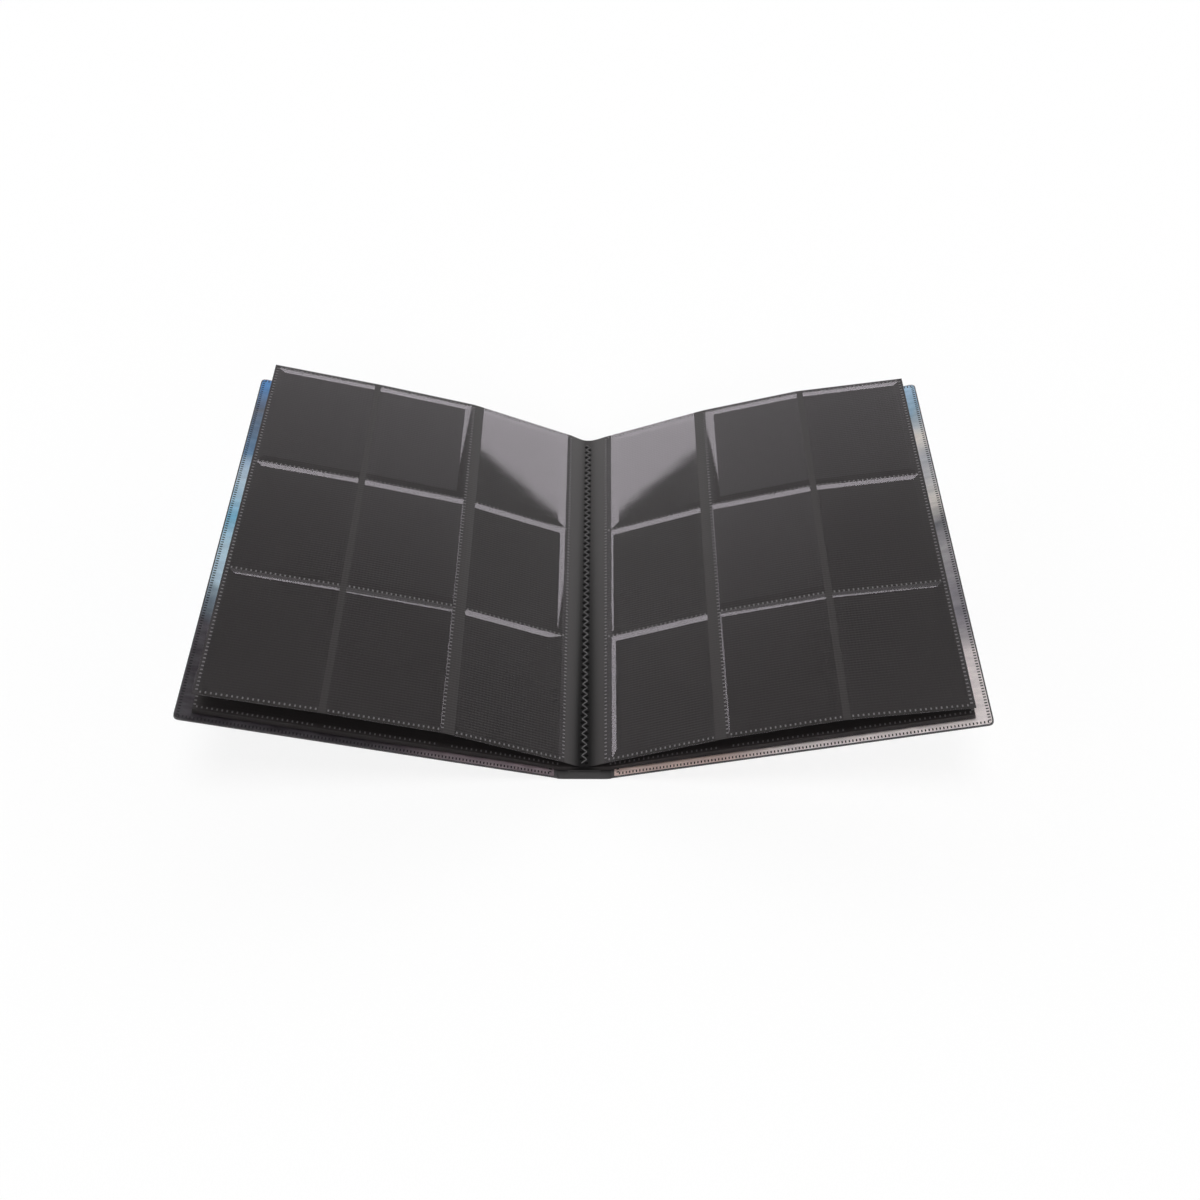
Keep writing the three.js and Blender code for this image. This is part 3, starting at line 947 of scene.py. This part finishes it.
def film_strip(name, weld_end, rim_start, mouth, rim):
    """A flat strip of three pockets. weld_end is its welded edge, rim_start is where its pockets begin to
    rise, and rim is the width and height of their rims."""
    height = TOP_THICKNESS / 2 + FILM_GAP + FILM_THICKNESS / 2
    piece = flat_sheet(name, min(weld_end, mouth), max(weld_end, mouth), height)
    cut(piece, (rim_start, 0, 0), (1, 0, 0))
    for row in range(ROWS):
        start = first_weld + row * ROW_PITCH + HALF_WELD
        cut(piece, (0, start, 0), (0, 1, 0))
        cut(piece, (0, start + ROW_PITCH - 2 * HALF_WELD, 0), (0, 1, 0))
    pick(piece, lambda centre: is_pocket(centre, (rim_start + mouth) / 2), "FACE")
    width, depth = rim
    for step in range(RIM_STEPS):
        rise = depth * (rim_rise((step + 1) / RIM_STEPS) - rim_rise(step / RIM_STEPS))
        bpy.ops.mesh.inset(thickness=width / RIM_STEPS, depth=rise, use_boundary=False)
    out_of_edit()
    return piece


# %% [markdown]
# ## Pockets that don't lie alike
#
# Where the film is pulled flat a rim is narrow, and where it is slack the rim stands higher. The light
# bars in the photograph show it, pocket by pocket. Each pocket could be modelled by itself, but it
# is enough to scale the vertices of its rim away from the weld. The three factors say how much wider the
# rim is, how much higher, and how much higher the whole pocket stands. Rows count from the nearest one.

# %% Shaping a pocket
POCKET_SHAPES = {
    ("left", "inner"): [(2.0, 1, 1), (0.75, 1, 0.36), (1.15, 1, 1)],
    ("right", "inner"): [(0.6, 1, 1), (0.3, 0.2, 1), (1.2, 1, 1)],
    ("left", "middle"): [(0.15, 1, 1), (0.15, 1, 1), (1.15, 1.5, 1)],
    ("right", "middle"): [(0.2, 1, 1), (0.15, 1, 1), (1.25, 1.25, 1)],
}
RIM_TOLERANCE = 0.1 * MM


def shape_pocket(piece, row, rim_start, inward, rim_width, shape):
    """Makes the rim along the weld of one pocket wider and higher, and then the whole pocket higher."""
    wider, rim_higher, all_higher = shape
    start = first_weld + row * ROW_PITCH + HALF_WELD / 2
    stop = start + ROW_PITCH - HALF_WELD
    rim_stop = rim_width + RIM_TOLERANCE
    base = min(vertex.co.z for vertex in piece.data.vertices)
    weld = (rim_start, 0, base)
    pick(piece, lambda at: start < at.y < stop and 0 < inward * (at.x - rim_start) < rim_stop)
    bpy.ops.transform.resize(value=(wider, 1, rim_higher), center_override=weld)
    out_of_edit()
    pick(piece, lambda at: start < at.y < stop)
    bpy.ops.transform.resize(value=(1, 1, all_higher), center_override=weld)
    out_of_edit()


def press(piece, rim_start, inward):
    """Gives the film its pressed finish outside the rims, along the weld."""
    give([piece], pressed_film)
    pick(piece, lambda centre: inward * (centre.x - rim_start) < 0, "FACE")
    piece.active_material_index = 1
    bpy.ops.object.material_slot_assign()
    out_of_edit()


# %% [markdown]
# ## Welds
#
# The weld is a toothed line: the tool presses a ladder of short rungs into the film. Bump could draw them,
# but they catch the light one by one, so they are real. One rung is a small block with its edges bevelled,
# an Array modifier repeats it, and the rows are joined to their strip.

# %% Rungs
RUNG_PITCH = 2.73 * MM
RUNG_SIZE = (1.4 * MM, 0.85 * MM, 0.14 * MM)
RUNG_BEVEL_SHARE = 0.45


def rung_row(start, end, height, pitch=RUNG_PITCH, size=RUNG_SIZE):
    """Rungs from start to end, two points on a line along X or Y. Each lies across the line."""
    run = Vector(end) - Vector(start)
    count = max(1, int(run.length / pitch))
    step = run / count
    across, along, thick = size
    deselect_all()
    bpy.ops.mesh.primitive_cube_add(size=1)
    rung = bpy.context.object
    rung.scale = (across, along, thick) if abs(run.y) > abs(run.x) else (along, across, thick)
    first = Vector(start) + step / 2
    rung.location = (first.x, first.y, height)
    settle(rung)
    apply_modifier(rung, "BEVEL", width=thick * RUNG_BEVEL_SHARE, segments=1)
    repeat(rung, count, (step.x, step.y, 0))
    return rung


# %% [markdown]
# A whole strip is a film with its rims, made as thin as film by a Solidify modifier, and its rungs:
# across the leaf at each row, and along its welded edge. A column is given by its weld, by the edge of its
# film behind the weld, and by its mouth. The outer column opens towards the spine.

# %% Welded strips
COLUMNS = {
    "inner": (INNER_WELD, INNER_WELD - HALF_WELD, INNER_WELD + POCKET_WIDTH),
    "middle": (MIDDLE_WELD + HALF_WELD, MIDDLE_WELD + FILM_SETBACK, MIDDLE_WELD + POCKET_WIDTH),
    "outer": (OUTER_WELD, OUTER_WELD + LEAF_MARGIN, OUTER_MOUTH),
}
RIM_WIDTHS = {"inner": 4.7 * MM, "middle": 4.7 * MM, "outer": 4.2 * MM}


def welded_strip(name, column, depth, rim_shift, shapes):
    """A film strip with its rows of rungs. rim_shift is how far its rims start from the weld."""
    weld, weld_end, mouth = COLUMNS[column]
    inward = 1 if mouth > weld else -1
    rim_start = weld + inward * (HALF_WELD + rim_shift)
    rim_width = RIM_WIDTHS[column]
    piece = film_strip(name, weld_end, rim_start, mouth, (rim_width, depth))
    give([piece], pocket_film)
    press(piece, rim_start, inward)
    for row, shape in enumerate(shapes):
        shape_pocket(piece, row, rim_start, inward, rim_width, shape)
    apply_modifier(piece, "SOLIDIFY", thickness=FILM_THICKNESS, offset=0)
    top = TOP_THICKNESS / 2 + FILM_GAP + FILM_THICKNESS
    rows = [rung_row((weld, first_weld, 0), (weld, -first_weld, 0), top)]
    for row in range(ROWS + 1):
        y = first_weld + row * ROW_PITCH
        rows.append(rung_row((weld + inward * HALF_WELD, y, 0), (mouth, y, 0), top))
    give(rows, pocket_weld)
    return join(piece, rows)


# %% [markdown]
# ## All columns of the uppermost leaves
#
# How high a rim stands on a front face was found from the width of its light bar in the photograph. The
# film is smooth, but the foot of a rim and its mitred corners are creases, and a rim slopes by a few
# degrees only. So the shading is smooth up to an angle of 1.2 degrees, and sharp beyond it. The strips of
# the inner column reach over the hinge, and are bent to the same line as the sheet.

# %% Columns
FRONT_DEPTHS = {"inner": 0.475 * MM, "middle": 0.44 * MM, "outer": 0.46 * MM}
BACK_DEPTH = 0.3 * MM
RIM_CREASE = 1.2
INNER_RIM_SHIFT = {"left": 1.9 * MM, "right": 3.2 * MM}


def column_of_pockets(side, column, face_name, face):
    depth = FRONT_DEPTHS[column] if face > 0 else BACK_DEPTH
    shift = INNER_RIM_SHIFT[side] if column == "inner" else 0
    name = "%s_top_leaf_%s_film_%s" % (side, column, face_name)
    piece = welded_strip(name, column, depth, shift, POCKET_SHAPES.get((side, column), []))
    bend(piece, lines[side, 1], side, face)
    smooth_shade(piece, RIM_CREASE)
    return piece


for side in SIDES:
    for column in COLUMNS:
        for face_name, face in (("front", 1), ("back", -1)):
            piece = column_of_pockets(side, column, face_name, face)
            if column == "inner":
                hang(piece)
            else:
                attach(piece, side + "_top_leaf")
            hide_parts("%s_top_leaf_%s_pockets_%s" % (side, column, face_name))
            print(piece.name, len(piece.data.polygons), "faces")

# %% [markdown]
# ## Stitching
#
# A zigzag seam holds the sheets at the gutter. It could be one long curve with a bevel, but a sewn thread
# isn't one smooth line: each stitch is pulled down into the sheet at both ends. So a stitch is a short bar
# of thread whose ends dip and narrow. In every bay of the zigzag the pull presses a dimple, and its shade
# is painted as a flat near-black disc.

# %% One stitch and one painted dimple shade
STITCH_PITCH = 5.3 * MM
STITCH_HALF_WIDTH = 1.55 * MM
THREAD_RADIUS = 0.36 * MM
THREAD_SIDES = 8
STITCH_RINGS = 4
STITCH_DIP = 1.1 * THREAD_RADIUS
STITCH_LIFT = 0.8 * THREAD_RADIUS
STITCH_TAPER = 0.25
THREAD_CREASE = 60
DIMPLE_SIDES = 12
DIMPLE_SIZE = (1.1 * MM, 0.95 * MM)
DIMPLE_DEPTH = 0.06 * MM
DIMPLE_PLACE = 1.35 * MM
gutter_top = lines["left", 1].points[0].y + TOP_THICKNESS / 2


def stitch(start, end):
    """A bar of thread between two holes in the gutter, with its ends dipping down."""
    run = Vector(end) - Vector(start)
    deselect_all()
    bpy.ops.mesh.primitive_cylinder_add(
        vertices=THREAD_SIDES, radius=THREAD_RADIUS, depth=run.length, rotation=(0, math.pi / 2, 0)
    )
    bar = bpy.context.object
    settle(bar)
    for ring in range(1, STITCH_RINGS):
        cut(bar, (run.length * (ring / STITCH_RINGS - 0.5), 0, 0), (1, 0, 0))
    for vertex in bar.data.vertices:
        share = abs(vertex.co.x) / (run.length / 2)
        vertex.co.z -= STITCH_DIP * share * share
        vertex.co.y *= 1 - STITCH_TAPER * share
    in_edit(bar)
    bpy.ops.mesh.normals_make_consistent(inside=False)
    out_of_edit()
    bar.rotation_euler = (0, 0, math.atan2(run.y, run.x))
    bar.location = ((start[0] + end[0]) / 2, (start[1] + end[1]) / 2, gutter_top + STITCH_LIFT)
    settle(bar)
    smooth_shade(bar, THREAD_CREASE)
    give([bar], thread_grey)
    return bar


# A flat near-black disc of painted shade, where the pull of the thread presses the sheet into a dimple.
def dimple_shade_disc(x, y):
    deselect_all()
    place = (x, y, gutter_top)
    bpy.ops.mesh.primitive_cylinder_add(vertices=DIMPLE_SIDES, radius=1, depth=DIMPLE_DEPTH, location=place)
    spot = bpy.context.object
    spot.scale = (*DIMPLE_SIZE, 1)
    settle(spot)
    give([spot], dimple_shade_finish)
    return spot


# %% [markdown]
# Two stitches and two discs of painted dimple shade make one zigzag, and an Array modifier repeats it along
# the gutter. The uppermost sheet climbs to both sides of the stitch, so the zigzag is lifted with it first.


# %% Seam
def lay_in_valley(piece):
    """Lifts the piece with the sheet, which climbs to both sides of the stitch."""
    for vertex in piece.data.vertices:
        line = lines["left" if vertex.co.x < 0 else "right", 1]
        vertex.co.z += line.eased(abs(vertex.co.x)).y - line.points[0].y


seam_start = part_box("stitch_thread")[0].y
seam_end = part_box("stitch_thread")[1].y
left_hole = (-STITCH_HALF_WIDTH, seam_start, 0)
right_hole = (STITCH_HALF_WIDTH, seam_start + STITCH_PITCH / 2, 0)
next_hole = (-STITCH_HALF_WIDTH, seam_start + STITCH_PITCH, 0)
there = stitch(left_hole, right_hole)
back = stitch(right_hole, next_hole)
dimple_shade_discs = [dimple_shade_disc(DIMPLE_PLACE, left_hole[1]), dimple_shade_disc(-DIMPLE_PLACE, right_hole[1])]
seam = join(there, [back, *dimple_shade_discs])
seam.name = "gutter_seam"
lay_in_valley(seam)
repeat(seam, int((seam_end - seam_start) / STITCH_PITCH), (0, STITCH_PITCH, 0))
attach(seam, "spine")
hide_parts("stitch_thread")
print("seam faces:", len(seam.data.polygons))

# %% [markdown]
# ## Welds on the second leaf
#
# The uppermost leaf stands a little above the rest, so a narrow border of the second leaf can be seen round
# it. That border carries the second leaf's own weld lines. It could get whole pockets, as the first
# has, but these stay hidden, so only the rungs are made.

# %% Rungs of the second leaf
SECOND_LEAF_RUNS = [
    (INNER_WELD + HALF_WELD, INNER_WELD + POCKET_WIDTH),
    (MIDDLE_WELD + HALF_WELD, MIDDLE_WELD + POCKET_WIDTH),
    (OUTER_MOUTH, OUTER_WELD),
]


def second_leaf_welds(side):
    height = STACK_THICKNESS / 2
    rows = [rung_row((OUTER_WELD, first_weld, 0), (OUTER_WELD, -first_weld, 0), height)]
    for start, stop in SECOND_LEAF_RUNS:
        for y in (first_weld, -first_weld):
            rows.append(rung_row((start, y, 0), (stop, y, 0), height))
    give(rows, pocket_weld)
    piece = join(rows[0], rows[1:])
    piece.name = side + "_second_leaf_welds"
    bend(piece, lines[side, 2], side)
    return piece


for side in SIDES:
    piece = second_leaf_welds(side)
    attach(piece, side + "_leaves")
    print(piece.name, len(piece.data.polygons), "faces")

# %% [markdown]
# ## Welds round the covers
#
# The clear jacket of a cover is welded to its board by a line of short dark marks, two millimetres inside
# the edge, on both faces. They are made as the rungs are, smaller and closer together, and laid flat on
# the film that the CAD model has there.

# %% Cover marks
COVER_MARK_PITCH = 2.0 * MM
COVER_MARK_SIZE = (1.6 * MM, 0.75 * MM, 0.08 * MM)
COVER_MARK_INSET = 2.1 * MM


def cover_marks(side, face_name, face):
    film = "%s_film_%s" % (COVERS[side], face_name)
    points = middle_points(film, side)
    straight = SectionLine([points[0], points[-1]])
    low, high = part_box(film)
    near, far = low.y + COVER_MARK_INSET, high.y - COVER_MARK_INSET
    root, edge = COVER_MARK_INSET, straight.reach - COVER_MARK_INSET
    corners = [(root, near, 0), (edge, near, 0), (edge, far, 0), (root, far, 0)]
    ends = zip(corners, corners[1:] + corners[:1])
    rows = [rung_row(a, b, FILM_THICKNESS / 2, COVER_MARK_PITCH, COVER_MARK_SIZE) for a, b in ends]
    give(rows, cover_weld)
    piece = join(rows[0], rows[1:])
    piece.name = "%s_marks_%s" % (COVERS[side], face_name)
    bend(piece, straight, side, face)
    return piece


for side in SIDES:
    for face_name, face in (("inside", 1), ("outside", -1)):
        piece = cover_marks(side, face_name, face)
        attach(piece, COVERS[side])
        print(piece.name, len(piece.data.polygons), "faces")

# %% [markdown]
# ## Creases
#
# The spine and the covers are one plastic sheet, thinned to a crease where it folds. In the CAD model each
# cover is a body of its own, with a little room beside the spine to turn in. The cover could be stretched
# across that room, but it has to stay rigid. So a narrow strip fills it, with its edges buried in
# the spine and in the cover, and bends from the one to the other.

# %% Crease strips
CREASE_THICKNESS = 0.5 * MM
CREASE_POINTS = [(14.7, 0.62), (15.47, 0.72), (16.0, 1.0), (16.6, 1.35), (17.6, 1.62)]
CREASE_STEPS = 12
STRIP_CREASE = 40
cover_near, cover_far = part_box("spine_outer_strip")[0].y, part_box("spine_outer_strip")[1].y


def crease(side):
    line = SectionLine([(x * MM, z * MM) for x, z in CREASE_POINTS])
    piece = flat_grid(COVERS[side] + "_crease", line.reach, cover_near, cover_far, CREASE_STEPS)
    apply_modifier(piece, "SOLIDIFY", thickness=CREASE_THICKNESS, offset=0)
    bend(piece, line, side)
    smooth_shade(piece, STRIP_CREASE)
    give([piece], spine_plastic)
    return piece


for side, sign in SIDES.items():
    piece = crease(side)
    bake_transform(piece)
    print(piece.name, len(piece.data.polygons), "faces")
